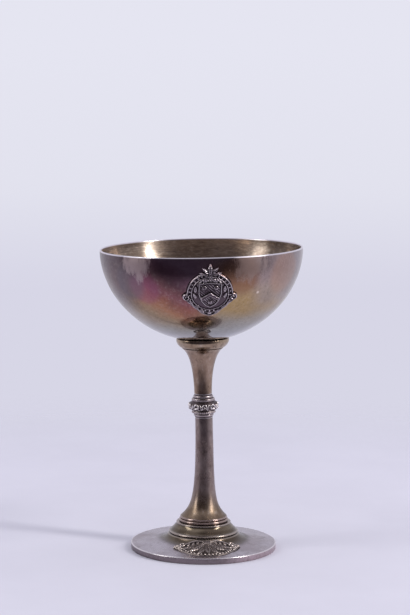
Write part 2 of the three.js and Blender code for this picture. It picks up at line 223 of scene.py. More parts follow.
def ripple(points, wavelength, seed):
    """A smooth random swell of about -1 to 1, for the uneven skin of metal worked by hand."""
    random = np.random.default_rng(seed)
    swell = np.zeros(len(points))
    waves = 10
    for _ in range(waves):
        direction = random.normal(size=3)
        direction *= 2 * math.pi / (wavelength * random.uniform(0.7, 1.6) * np.linalg.norm(direction))
        swell += np.sin(points @ direction + random.uniform(0, 2 * math.pi))
    return swell / math.sqrt(waves)


def add_object(name, data):
    made = bpy.data.objects.new(name, data)
    bpy.context.scene.collection.objects.link(made)
    return made


def add_piece(name, node, points, faces, hollow, materials, face_material=None, sharp=35):
    """Makes a piece in place of a node, from points in millimetres with a hollowness each, and faces."""
    mesh = bpy.data.meshes.new(name)
    mesh.from_pydata((np.asarray(points) * MM).tolist(), [], faces)
    mesh.update()
    for material in materials:
        mesh.materials.append(material)
    if face_material is not None:
        mesh.polygons.foreach_set("material_index", np.asarray(face_material, np.int32))
    mesh.shade_smooth()
    mesh.set_sharp_from_angle(angle=math.radians(sharp))
    attribute = mesh.attributes.new("hollow", "FLOAT", "POINT")
    attribute.data.foreach_set("value", np.asarray(hollow, np.float32))
    piece = add_object(name, mesh)
    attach(piece, "root")
    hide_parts(node)


def placed(points, matrix):
    """Points turned and moved by a matrix."""
    m = np.array(matrix)
    return points @ m[:3, :3].T + m[:3, 3]


def bowed(points):
    """The slight double bend of a stem that has been handled for years, in the goblet's frame."""
    share = np.clip((points[:, 2] - BOW_FROM) / (BOW_TO - BOW_FROM), 0, 1)
    made = points.copy()
    made[:, 0] += BOW * np.sin(2 * math.pi * share)
    return made


def spun(outline, sides, closed=False):
    """The points and faces of an outline spun round the axis. Its outside runs upwards.
    Also gives each point's row in the outline and its angle."""
    points, rows, angles, rings = [], [], [], []
    turn = np.arange(sides) * 2 * math.pi / sides
    for row, (radius, height) in enumerate(outline):
        ring = turn if radius > 1e-6 else turn[:1]
        rings.append((len(rows) + np.arange(sides) % len(ring)).tolist())
        points.append(np.stack([radius * np.cos(ring), radius * np.sin(ring), np.full(len(ring), height)], 1))
        rows.extend([row] * len(ring))
        angles.extend(ring)
    if closed:
        rings.append(rings[0])
    faces = []
    for low, high in zip(rings[:-1], rings[1:]):
        for i in range(sides):
            j = (i + 1) % sides
            corners = [low[i], low[j], high[j], high[i]]
            faces.append([c for k, c in enumerate(corners) if c != corners[k - 1]])
    return np.concatenate(points), faces, np.array(rows), np.array(angles)


# Flat shapes for the reliefs. Each gives a distance or a height at points u and v.


def smooth_step(value, low, high):
    t = np.clip((value - low) / (high - low), 0, 1)
    return t * t * (3 - 2 * t)


def segment(u, v, start, end):
    """Distance to a straight line between two points, and the share of the way along it."""
    along = np.array(end, float) - np.array(start, float)
    share = np.clip(((u - start[0]) * along[0] + (v - start[1]) * along[1]) / (along @ along), 0, 1)
    return np.hypot(u - start[0] - share * along[0], v - start[1] - share * along[1]), share


def polygon(u, v, corners):
    """Distance to a polygon's outline, negative inside it."""
    corners = np.array(corners, float)
    nearest = np.full(u.shape, np.inf)
    inside = np.zeros(u.shape, bool)
    for (x0, y0), (x1, y1) in zip(corners, np.roll(corners, -1, axis=0)):
        nearest = np.minimum(nearest, segment(u, v, (x0, y0), (x1, y1))[0])
        if y0 != y1:
            crosses = ((y0 > v) != (y1 > v)) & (u < (x1 - x0) * (v - y0) / (y1 - y0) + x0)
            inside ^= crosses
    return np.where(inside, -nearest, nearest)


def mirrored(right_side):
    """A whole outline from the points of its right side, lowest first."""
    left = [(-x, y) for x, y in reversed(right_side) if x > 0]
    return [*right_side, *left]


def round_bar(distance, half_width, height):
    """The height of a rounded bar along a line."""
    return height * np.sqrt(np.clip(1 - (distance / half_width) ** 2, 0, None))


def stroke(u, v, points, half_width, height, tip=1.0):
    """A rounded bar along several points. tip is the width left at its end."""
    points = np.array(points, float)
    lengths = np.linalg.norm(np.diff(points, axis=0), axis=1)
    total = lengths.sum()
    before = 0
    made = np.zeros(u.shape)
    for a, b, length in zip(points[:-1], points[1:], lengths):
        distance, share = segment(u, v, a, b)
        width = half_width * (1 + (tip - 1) * (before + share * length) / total)
        made = np.maximum(made, round_bar(distance, width, height * np.sqrt(width / half_width)))
        before += length
    return made


def spiral(centre, radius, start_degrees, turns, steps=20, end_share=0.25):
    """Points along a spiral that winds inwards. Positive turns run anticlockwise."""
    t = np.linspace(0, 1, steps + 1)
    angle = math.radians(start_degrees) + 2 * math.pi * turns * t
    reach = radius * (1 - (1 - end_share) * t)
    return np.stack([centre[0] + reach * np.cos(angle), centre[1] + reach * np.sin(angle)], 1)


def dome(u, v, centre, radius, height):
    return round_bar(np.hypot(u - centre[0], v - centre[1]), radius, height)


def leaf(u, v, base, tip, width, height, veins=5):
    """A pointed leaf with a midrib and side veins."""
    along = np.array(tip, float) - np.array(base, float)
    length = np.linalg.norm(along)
    along /= length
    share = ((u - base[0]) * along[0] + (v - base[1]) * along[1]) / length
    aside = -(u - base[0]) * along[1] + (v - base[1]) * along[0]
    inside = (share > 0) & (share < 1)
    clipped = np.clip(share, 0, 1)
    half = width / 2 * np.sin(math.pi * clipped**0.75) ** 0.8
    across = np.abs(aside) / np.maximum(half, 1e-6)
    body = height * np.clip(1 - across**2, 0, None) ** 0.5
    rib = 0.22 * height * np.exp(-((across / 0.16) ** 2))
    furrow = 0.5 + 0.5 * np.cos(2 * math.pi * (veins * clipped - 0.9 * across))
    body -= 0.2 * height * furrow * np.clip(across, 0, 1)
    return np.where(inside & (across < 1), body - rib, 0)


class Relief:
    """Heights in millimetres at points u and v, on which shapes are laid one after another."""

    def __init__(self, u, v, height):
        self.u = u
        self.v = v
        self.height = height

    def lay(self, rise, on=0.0):
        """Lays on a shape that rises from a base. What is higher, and the rest, stay as they were."""
        self.height = np.where(rise > 0, np.maximum(self.height, on + rise), self.height)

    def add(self, shape, *how, on=0.0):
        """Lays on a flat shape, such as leaf, with what it asks for after u and v."""
        self.lay(shape(self.u, self.v, *how), on)


# Reliefs of the badges. u runs across and v up, as shares of the badge's width.


def plate(edge, height, bevel):
    """A badge's plain ground, which ends along its outline."""
    sunk = EMBED / 2 * smooth_step(edge, -0.004, 0.004)
    return np.maximum(height * smooth_step(-edge, -0.002, bevel) - sunk, 0)


def bowl_badge_edge(u, v):
    """Distance to the badge's outline, negative inside."""
    drop = [(0, -0.58), (0.14, -0.52), (0.29, -0.36), (0.44, -0.2), (0.46, -0.1), (0, 0.2)]
    edge = np.minimum(np.hypot(u, v + 0.06) - 0.43, polygon(u, v, mirrored(drop)))
    for side in (-1, 1):
        edge = np.minimum(edge, np.hypot(u - 0.455 * side, v + 0.14) - 0.05)
    return edge


def bowl_badge_height(u, v):
    """A shield with a chevron and roundels in a round strap, with volutes, leaves and a crest of leaves."""
    edge = bowl_badge_edge(u, v)
    relief = Relief(u, v, plate(edge, BADGE_GROUND, 0.018))
    middle = np.hypot(u, v + 0.06)
    turns = np.arctan2(v + 0.06, u) / (2 * math.pi)
    # The strap, with raised rims and shallow strokes between them
    strap = smooth_step(middle, 0.328, 0.34) * smooth_step(-middle, -0.432, -0.42)
    off_centre = np.abs(middle - 0.38)
    relief.lay((BADGE_STRAP - 0.35 * (1 - smooth_step(off_centre, 0.024, 0.032))) * strap)
    strokes = 30
    number, phase = np.divmod(turns * strokes, 1)
    half_length = np.where(number % 3 == 0, 0.012, 0.021)
    across = 1 - smooth_step(np.abs(phase - 0.5), 0.12, 0.22)
    relief.height += 0.3 * strap * across * (1 - smooth_step(off_centre, half_length, half_length + 0.006))
    # The border: a raised edge that follows the outline
    relief.lay(round_bar(np.abs(edge + 0.015), 0.012, 0.4), BADGE_GROUND)
    for side in (-1, 1):
        # A volute at each side, with its stem running down to the foot of the badge
        volute = spiral((0.43 * side, -0.15), 0.07, 90, -1.3 * side)
        relief.add(stroke, volute, 0.02, 0.9, 0.7, on=BADGE_GROUND)
        stem = curve((0.37 * side, -0.2), (0.3 * side, -0.36), (0.2 * side, -0.4), (0.1 * side, -0.5), 8)
        relief.add(stroke, stem, 0.018, 0.7, 0.6, on=BADGE_GROUND)
        for i in range(3):
            base = ((0.1 + 0.11 * i) * side, -0.47 + 0.1 * i)
            tip = (base[0] + 0.12 * side, base[1] + 0.06)
            relief.add(leaf, base, tip, 0.08, 0.75, on=BADGE_GROUND)
        # Sprays of leaves between the strap and the shield
        for degrees in (-20, 7, 34, 61):
            ends = [(0.275, math.radians(degrees)), (0.315, math.radians(degrees + 24))]
            base, tip = [(reach * math.cos(a) * side, -0.06 + reach * math.sin(a)) for reach, a in ends]
            relief.add(leaf, base, tip, 0.07, 0.55, 3, on=BADGE_GROUND)
        relief.add(leaf, (0.015 * side, 0.33), (0.15 * side, 0.45), 0.075, 1.35, 3)
        relief.add(leaf, (0.03 * side, 0.31), (0.21 * side, 0.355), 0.06, 1.25, 3)
    # The shield, hatched, with a chevron and three roundels
    outline = [(0, -0.36), (0.09, -0.31), (0.17, -0.21), (0.22, -0.06), (0.22, 0.16), (0, 0.19)]
    shield = polygon(u, v, mirrored(outline))
    field = BADGE_FIELD - 0.35 + 0.09 * np.cos(2 * math.pi * (u + v) / 0.056)
    rim = (BADGE_FIELD + 0.1) * smooth_step(-shield, -0.006, 0.01)
    shield_height = np.maximum(np.where(shield > -0.022, rim, field), 0.4)
    relief.height = np.where(shield < 0.006, shield_height, relief.height)
    chevron = polygon(u, v, mirrored([(0, -0.1), (0.17, -0.21), (0.17, -0.13), (0, -0.01)]))
    relief.lay(BADGE_CHARGE * smooth_step(-chevron, -0.006, 0.01) - 0.12 * (chevron < -0.016))
    for centre in ((-0.11, 0.07), (0.11, 0.07), (0, -0.235)):
        relief.add(dome, centre, 0.045, 0.6, on=BADGE_FIELD - 0.3)
    # The crest: a twisted bar with a rosette, and a tall leaf
    bar = stroke(u, v, [(-0.17, 0.225), (0.17, 0.225)], 0.026, 0.4)
    twist = 0.12 * np.cos(2 * math.pi * (u + 0.6 * v) / 0.045)
    relief.lay(np.where(bar > 0, bar + twist, 0), 0.65)
    for i in range(6):
        turn = math.radians(60 * i)
        petal = (0.032 * math.cos(turn), 0.29 + 0.032 * math.sin(turn))
        relief.add(dome, petal, 0.02, 0.4, on=0.8)
    relief.add(dome, (0, 0.29), 0.018, BADGE_CHARGE)
    relief.add(leaf, (0, 0.33), (0, 0.525), 0.11, BADGE_CHARGE)
    # The boss at the foot of the badge
    relief.lay(0.4 * (np.hypot(u, v + 0.5) < 0.075))
    relief.add(dome, (0, -0.5), 0.05, 1.15)
    return relief.height


def foot_badge_edge(u, v):
    spray = [(0, -0.225), (0.15, -0.21), (0.29, -0.12), (0.43, 0.035), (0.5, 0.19), (0.33, 0.265), (0, 0.225)]
    return polygon(u, v, mirrored(spray))


def foot_badge_height(u, v):
    """A palmette between two sprays, with pearls along its rim and a curl at each tip."""
    relief = Relief(u, v, plate(foot_badge_edge(u, v), FOOT_BADGE_GROUND, 0.014))
    root = 0.17
    for i in range(-3, 4):
        turn = math.radians(25 * i)
        across, down = math.sin(turn), math.cos(turn)
        tip = 0.34 + 0.012 * abs(i)
        rise = FOOT_BADGE_LEAF if i % 2 else FOOT_BADGE_CURL
        ends = ((0.05 * across, root - 0.03 * down), (tip * across, root - tip * down))
        relief.add(leaf, *ends, 0.105, rise, 7)
    # Pearls along the rim of the fan, and a curl with a cluster of berries at each end
    for i in range(-9, 10):
        turn = math.radians(8.6 * i)
        centre = (0.372 * math.sin(turn) * 1.02, root - 0.372 * math.cos(turn))
        relief.add(dome, centre, 0.016, 0.85, on=0.25)
    berries = [(0.435, 0.165), (0.465, 0.185), (0.484, 0.187), (0.447, 0.205)]
    berries += [(0.425, 0.13), (0.4, 0.1), (0.405, 0.135)]
    for side in (-1, 1):
        relief.add(stroke, spiral((0.37 * side, 0.19), 0.055, -90, 1.35 * side), 0.017, FOOT_BADGE_CURL, 0.7)
        for x, y in berries:
            relief.add(dome, (x * side, y), 0.02, FOOT_BADGE_CURL - 0.1)
        for i in range(5):
            relief.add(dome, ((0.39 + 0.02 * i) * side, 0.03 + 0.033 * i), 0.015, 0.85, on=0.25)
        branch = curve((0.06 * side, 0.19), (0.15 * side, 0.235), (0.25 * side, 0.235), (0.33 * side, 0.2), 8)
        relief.add(stroke, branch, 0.016, 1.2, 0.8)
        for i in range(3):
            start = ((0.12 + 0.07 * i) * side, 0.215)
            end = ((0.16 + 0.07 * i) * side, 0.165 - 0.01 * i)
            relief.add(leaf, start, end, 0.045, 1.0, 3)
    oval = np.hypot(u / 0.07, (v - root) / 0.045)
    relief.lay(round_bar(oval, 1, FOOT_BADGE_CURL))
    reeds = 0.12 * np.cos(2 * math.pi * u / 0.02) * (oval < 0.95)
    return relief.height + reeds


def badge_grid(edge_distance, centre, longest, rings, sectors):
    """A polar grid over a badge, in shares of its width, that ends just outside its outline."""
    turn = np.arange(sectors) * 2 * math.pi / sectors
    reach = np.linspace(0.02, longest, 500)
    u = centre[0] + reach[:, None] * np.cos(turn)
    v = centre[1] + reach[:, None] * np.sin(turn)
    inside = edge_distance(u, v) < 0.012
    last = np.array([reach[np.nonzero(column)[0].max()] for column in inside.T])
    share = np.linspace(0, 1, rings + 1)[1:, None]
    spread = share * last
    return centre[0] + spread * np.cos(turn), centre[1] + spread * np.sin(turn)


def blurred(height, passes):
    """A polar grid of heights, smoothed along its rings and its spokes."""
    made = height
    for _ in range(passes):
        made = (np.roll(made, 1, 1) + made + np.roll(made, -1, 1)) / 3
        padded = np.concatenate([made[:1], made, made[-1:]])
        made = (padded[:-2] + padded[1:-1] + padded[2:]) / 3
    return made


def relief_shell(u, v, height, surface_point, contrast):
    """A closed shell: the relief on top, and beneath it a plain sheet sunk into the metal.
    surface_point(u, v, height) gives places in millimetres."""
    rings, sectors = u.shape
    centre_u, centre_v = u[0].mean(), v[0].mean()
    base_rings = 4
    top = surface_point(u, v, height).reshape(-1, 3)
    top_middle = surface_point(np.array([centre_u]), np.array([centre_v]), np.array([height[0].mean()]))
    shares = np.linspace(1, 1 / base_rings, base_rings)[:, None]
    base_u = centre_u + (u[-1] - centre_u) * shares
    base_v = centre_v + (v[-1] - centre_v) * shares
    base = surface_point(base_u, base_v, np.full(base_u.shape, -EMBED)).reshape(-1, 3)
    base_middle = surface_point(np.array([centre_u]), np.array([centre_v]), np.array([-EMBED]))
    points = np.concatenate([top, base, top_middle, base_middle])
    top_centre = len(top) + len(base)
    faces = []
    nodes = np.arange(top_centre).reshape(-1, sectors)
    for row in range(len(nodes) - 1):
        for i in range(sectors):
            j = (i + 1) % sectors
            faces.append((nodes[row, i], nodes[row + 1, i], nodes[row + 1, j], nodes[row, j]))
    for i in range(sectors):
        j = (i + 1) % sectors
        faces.append((top_centre, nodes[0, i], nodes[0, j]))
        faces.append((top_centre + 1, nodes[-1, j], nodes[-1, i]))
    near = blurred(height, 4) - height
    wide = blurred(height, 30) - height
    hollow = np.clip(contrast * (1.6 * near + wide), -1, 1)
    hollow = np.concatenate([hollow.ravel(), np.zeros(len(base)), [hollow[0].mean(), 0]])
    return points, [tuple(int(k) for k in face) for face in faces], hollow


# Materials


def linear(colour):
    """A colour given in screen values from 0 to 255, as linear light."""
    shares = [value / 255 for value in colour]
    return (*[s / 12.92 if s <= 0.04045 else ((s + 0.055) / 1.055) ** 2.4 for s in shares], 1.0)


class Nodes:
    """Adds nodes to a new material or world and joins them up. Colours are in screen values."""

    def __init__(self, name, kind="materials"):
        self.owner = getattr(bpy.data, kind).new(name)
        self.owner.use_nodes = True
        self.tree = self.owner.node_tree
        self.shader = self.tree.nodes.get("Principled BSDF")
        self.coordinates = self.add("ShaderNodeTexCoord").outputs
        self.place = self.coordinates["Object"]

    def put(self, socket, value):
        """Joins a socket to another, or sets its value."""
        if isinstance(value, bpy.types.NodeSocket):
            self.tree.links.new(value, socket)
        else:
            socket.default_value = linear(value) if socket.type == "RGBA" else value

    def fill(self, node, inputs):
        """Gives a node its inputs, by name or number in a dict, or in order."""
        for key, value in inputs.items() if isinstance(inputs, dict) else enumerate(inputs):
            self.put(node.inputs[key], value)

    def add(self, kind, inputs=(), **settings):
        node = self.tree.nodes.new(kind)
        for key, value in settings.items():
            setattr(node, key, value)
        self.fill(node, inputs)
        return node

    def math(self, operation, a, b=0.0, c=0.0):
        return self.add("ShaderNodeMath", (a, b, c), operation=operation).outputs[0]

    def range(self, value, low, high, to_low=0.0, to_high=1.0):
        """Maps a value smoothly from one range to another."""
        limits = (value, low, high, to_low, to_high)
        return self.add("ShaderNodeMapRange", limits, interpolation_type="SMOOTHSTEP").outputs[0]

    def noise(self, scale, detail=4.0, roughness=0.55, stretch=(1, 1, 1), turn=(0, 0, 0), offset=(0, 0, 0)):
        """Noise with a scale given per metre. stretch makes it finer along an axis."""
        turn = [math.radians(a) for a in turn]
        mapping = self.add("ShaderNodeMapping", (self.place, offset, turn, stretch))
        inputs = {"Vector": mapping.outputs[0], "Scale": scale, "Detail": detail, "Roughness": roughness}
        return self.add("ShaderNodeTexNoise", inputs).outputs["Fac"]

    def mix(self, share, a, b, blend="MIX"):
        node = self.add("ShaderNodeMix", (share,), data_type="RGBA", blend_type=blend)
        for socket, value in zip([s for s in node.inputs if s.type == "RGBA"], (a, b)):
            self.put(socket, value)
        return next(s for s in node.outputs if s.type == "RGBA")

    def ramp(self, value, stops):
        """Colours along a value. Each stop is a place from 0 to 1 and a colour."""
        node = self.add("ShaderNodeValToRGB", (value,))
        elements = node.color_ramp.elements
        while len(elements) < len(stops):
            elements.new(0.5)
        for element, (place, colour) in zip(elements, stops):
            element.position = place
            element.color = linear(colour)
        return node.outputs["Color"]

    def axes(self):
        """The place in millimetres, one value for each axis."""
        split = self.add("ShaderNodeSeparateXYZ", (self.place,))
        return [self.math("MULTIPLY", split.outputs[i], 1 / MM) for i in range(3)]

    def hollow(self):
        return self.add("ShaderNodeAttribute", attribute_name="hollow").outputs["Fac"]

    def blob(self, centre, radius, wobble, reach=0.35):
        """A soft round patch about a point given in millimetres, with an edge made uneven by noise."""
        ends = (self.place, [c * MM for c in centre])
        near = self.add("ShaderNodeVectorMath", ends, operation="DISTANCE")
        scaled = self.math("DIVIDE", near.outputs["Value"], radius * MM)
        shifted = self.math("MULTIPLY_ADD", wobble, 0.9, scaled)
        return self.range(shifted, 1.45 + reach, 1.45 - reach)

    def scratches(self, count):
        """Thin straight marks in several directions, as a value of 0 with 1 on each mark."""
        fineness, thread = 1500.0, 0.035
        made = 0.0
        for i in range(count):
            turn = (37 * i, 61 * i + 20, 47 * i + 13)
            field = self.noise(fineness, 1, 0.5, stretch=(0.012, 1, 0.35), turn=turn, offset=(i, 2 * i, 0))
            near = self.math("ABSOLUTE", self.math("SUBTRACT", field, 0.5))
            made = self.math("MAXIMUM", made, self.range(near, thread, 0.0))
        return self.math("MULTIPLY", made, self.range(self.noise(60, 2), 0.42, 0.62))

    def lathe_lines(self, per_mm):
        """Fine lines round the bowl's axis, as a spinner's tool leaves, as close together near the
        axis as far from it."""
        x, y, z = self.axes()
        aside = self.math("SUBTRACT", x, BOWL_PLACE.translation.x)
        squares = self.math("ADD", self.math("POWER", aside, 2), self.math("POWER", y, 2))
        along = self.math("MULTIPLY", self.math("ADD", z, self.math("SQRT", squares)), per_mm)
        inputs = {"W": along, "Scale": 1.0, "Detail": 3.0}
        return self.add("ShaderNodeTexNoise", inputs, noise_dimensions="1D").outputs["Fac"]

    def bump(self, height, depth, strength=1.0, normal=None):
        """A bump whose height runs from 0 to 1 over a depth in millimetres."""
        inputs = {"Height": height, "Distance": depth * MM, "Strength": strength}
        if normal is not None:
            inputs["Normal"] = normal
        return self.add("ShaderNodeBump", inputs).outputs["Normal"]

    def finish(self, colour, roughness, normal, anisotropy=0.0):
        """Metal. Anisotropy stretches its highlights across marks that run round the axis."""
        look = {"Metallic": 1.0, "Base Color": colour, "Roughness": roughness, "Normal": normal}
        if anisotropy:
            tangent = self.add("ShaderNodeTangent", direction_type="RADIAL", axis="Z").outputs[0]
            look |= {"Anisotropic": anisotropy, "Anisotropic Rotation": 0.25, "Tangent": tangent}
        self.fill(self.shader, look)
        return self.owner


def bowl_outside_material():
    """Polished silver under tarnish, whose film thickens towards the rim: from bare silver through
    straw, copper and magenta to violet. The side under the right of the badge is more golden."""
    n = Nodes("tarnished silver")
    x, _, z = n.axes()
    cloud = n.noise(38, 5, 0.55)
    drift = n.math("SUBTRACT", cloud, 0.5)
    pole = BOWL_PLACE.translation.z - BOWL_DEPTH
    rise = n.math("DIVIDE", n.math("SUBTRACT", z, pole), BOWL_DEPTH)
    above_foot = n.range(rise, 0.12, 0.42)
    rise = n.math("MULTIPLY_ADD", drift, 0.3, rise)
    slant = n.math("MAXIMUM", n.math("MINIMUM", n.math("ADD", x, 23), 14), -14)
    coppery = n.ramp(
        n.math("MULTIPLY_ADD", n.math("MULTIPLY", slant, above_foot), 0.011, rise),
        [
            (0.0, (150, 150, 158)), (0.2, (150, 147, 138)), (0.34, (160, 136, 108)),
            (0.45, (172, 126, 98)), (0.56, (150, 99, 86)), (0.63, (138, 91, 94)),
            (0.71, (122, 84, 86)), (0.78, (108, 78, 84)), (0.9, (132, 98, 112)),
            (1.0, (150, 124, 138)),
        ],
    )
    golden = n.ramp(
        rise,
        [
            (0.0, (153, 155, 162)), (0.2, (158, 158, 154)), (0.33, (162, 152, 136)),
            (0.44, (174, 148, 106)), (0.57, (176, 149, 106)), (0.66, (172, 146, 114)),
            (0.76, (146, 116, 96)), (0.88, (142, 116, 104)), (1.0, (150, 130, 132)),
        ],
    )
    colour = n.mix(n.range(n.math("MULTIPLY_ADD", drift, 16, x), -9, 8), coppery, golden)
    colour = n.mix(n.range(n.math("MULTIPLY_ADD", drift, 10, x), -29, -40, 0, 0.85), colour, (108, 97, 102))
    pale = n.math("MULTIPLY", n.range(x, 17, 26), n.range(rise, 0.35, 0.55))
    pale_tint = n.mix(n.range(rise, 0.6, 0.9), (172, 156, 142), (162, 144, 144))
    colour = n.mix(n.math("MULTIPLY", pale, 0.9), colour, pale_tint)
    colour = n.mix(n.range(x, 30, 42, 0.0, 0.6), colour, (158, 152, 158))
    wisps = n.range(n.noise(150, 6, 0.65), 0.42, 0.72, 0.0, 0.22)
    colour = n.mix(wisps, colour, (96, 84, 84))
    brushed = n.noise(800, 7, 0.75, stretch=(1, 1, 0.7), turn=(0, 35, 0))
    colour = n.mix(n.range(brushed, 0.5, 0.68, 0.0, 0.2), colour, (206, 194, 184))
    colour = n.mix(n.range(brushed, 0.5, 0.34, 0.0, 0.26), colour, (72, 60, 58))

    patches = [
        ((36, -30, -9), 7.0, (190, 142, 112), 0.3),  # copper, under the rim on the right
        ((14, -44, -8), 7.0, (142, 100, 74), 0.6),  # brown, right of the badge
        ((-30, -35, -15), 5.5, (146, 84, 112), 0.5),  # magenta, on the left
        ((-36, -29, -12), 6.0, (110, 104, 112), 0.5),  # steel grey, above it
        ((22.5, -38, -17.5), 0.7, (232, 214, 196), 1.0),  # painted highlight: a tiny bright glint
    ]
    for centre, radius, tint, share in patches:
        patch = n.blob(BOWL_PLACE @ Vector(centre), radius, drift)
        colour = n.mix(n.math("MULTIPLY", patch, share), colour, tint)

    # Two rubbed patches that are rougher than the rest of the bowl. Their paler tint is also painted
    # highlight, standing in for lamp light spread over them.
    streaks = n.noise(230, 6, 0.75, stretch=(1, 1, 0.35))
    ragged = n.math("MULTIPLY", n.math("SUBTRACT", streaks, 0.5), 5)
    smear_and_sheen = n.blob(BOWL_PLACE @ Vector((-32.5, -34, -3.5)), 4.2, ragged, 0.5)
    haze_and_sheen = n.blob(BOWL_PLACE @ Vector((19, -43, -3.5)), 5.5, ragged, 0.6)
    colour = n.mix(n.math("MULTIPLY", smear_and_sheen, 0.8), colour, (196, 176, 176))
    colour = n.mix(n.math("MULTIPLY", haze_and_sheen, 0.5), colour, (188, 168, 160))
    rubbed = n.math("MAXIMUM", smear_and_sheen, haze_and_sheen)
    colour = n.mix(n.range(n.hollow(), -0.12, -0.4), colour, (232, 226, 232))
    polish = n.range(rise, 0.28, 0.6, 0.03, 0.13)
    roughness = n.math("ADD", polish, n.range(n.noise(60, 5, 0.6), 0.3, 0.75, 0.0, 0.09))
    roughness = n.math("MULTIPLY_ADD", rubbed, 0.24, roughness)
    marks = n.scratches(3)
    roughness = n.math("MULTIPLY_ADD", marks, 0.08, roughness)
    normal = n.bump(n.lathe_lines(6), 0.0006, 0.4)
    normal = n.bump(marks, 0.001, 0.5, normal)
    return n.finish(colour, roughness, normal)


def bowl_inside_material():
    """Silver rubbed round and round, with a warm, dull cast, and painted shade on its side towards +X."""
    n = Nodes("brushed silver")
    cloud = n.noise(40, 5, 0.6)
    colour = n.mix(n.range(cloud, 0.35, 0.7), (192, 176, 162), (168, 148, 128))
    # Painted shade: the inside is darkened towards +X, which dims the fill lamp's reflection on that wall.
    colour = n.mix(n.range(n.axes()[0], 14, 34, 0.0, 0.4), colour, (112, 96, 84))
    lines = n.lathe_lines(5)
    colour = n.mix(n.range(lines, 0.35, 0.65, 0.0, 0.35), colour, (120, 104, 94))
    grain = n.noise(750, 6, 0.75, stretch=(0.5, 0.5, 1.2))
    colour = n.mix(n.range(grain, 0.5, 0.66, 0.0, 0.4), colour, (232, 216, 200))
    colour = n.mix(n.range(grain, 0.5, 0.34, 0.0, 0.4), colour, (100, 86, 78))
    colour = n.mix(n.range(n.hollow(), -0.12, -0.4), colour, (232, 226, 232))
    roughness = n.range(lines, 0.3, 0.7, 0.2, 0.36)
    normal = n.bump(lines, 0.002, 0.6)
    return n.finish(colour, roughness, normal, 0.7)


def stem_material():
    """Handled silver: warm at the top, greyer down the tube and olive brown near the foot."""
    n = Nodes("worn silver")
    _, _, z = n.axes()
    cloud = n.range(n.noise(70, 5, 0.6), 0.35, 0.7)
    warm = n.mix(cloud, (166, 144, 126), (138, 113, 96))
    grey = n.mix(cloud, (158, 143, 139), (134, 116, 110))
    brown = n.mix(cloud, (146, 128, 110), (116, 98, 83))
    collar_gold = n.mix(cloud, (176, 157, 136), (150, 127, 106))
    wander = n.math("MULTIPLY_ADD", n.noise(50, 3), 14, z)
    colour = n.mix(n.range(wander, 84, 76), warm, grey)
    colour = n.mix(n.range(wander, 35, 25), colour, brown)
    flare = SEAT_HEIGHT + LOWER_FLARE_LENGTH
    colour = n.mix(n.range(z, flare + 2, flare - 3, 0.0, 0.3), colour, (82, 62, 46))
    collar = COLLAR_FOOT + LEAN_HEIGHT
    colour = n.mix(n.range(z, collar - 2, collar), colour, collar_gold)
    mottle = n.noise(420, 6, 0.75, stretch=(1, 1, 0.5))
    colour = n.mix(n.range(mottle, 0.5, 0.66, 0.0, 0.5), colour, (86, 74, 68))
    colour = n.mix(n.range(mottle, 0.47, 0.36, 0.0, 0.3), colour, (200, 184, 172))
    colour = n.mix(n.range(n.hollow(), 0.1, 0.6), colour, (60, 50, 46))
    marks = n.scratches(3)
    roughness = n.range(n.noise(120, 4), 0.3, 0.7, 0.18, 0.3)
    roughness = n.math("ADD", roughness, n.range(z, 45, 30, 0.0, 0.07))
    normal = n.bump(n.noise(900, 3), 0.001, 0.5)
    normal = n.bump(marks, 0.001, 0.5, normal)
    return n.finish(colour, roughness, normal)


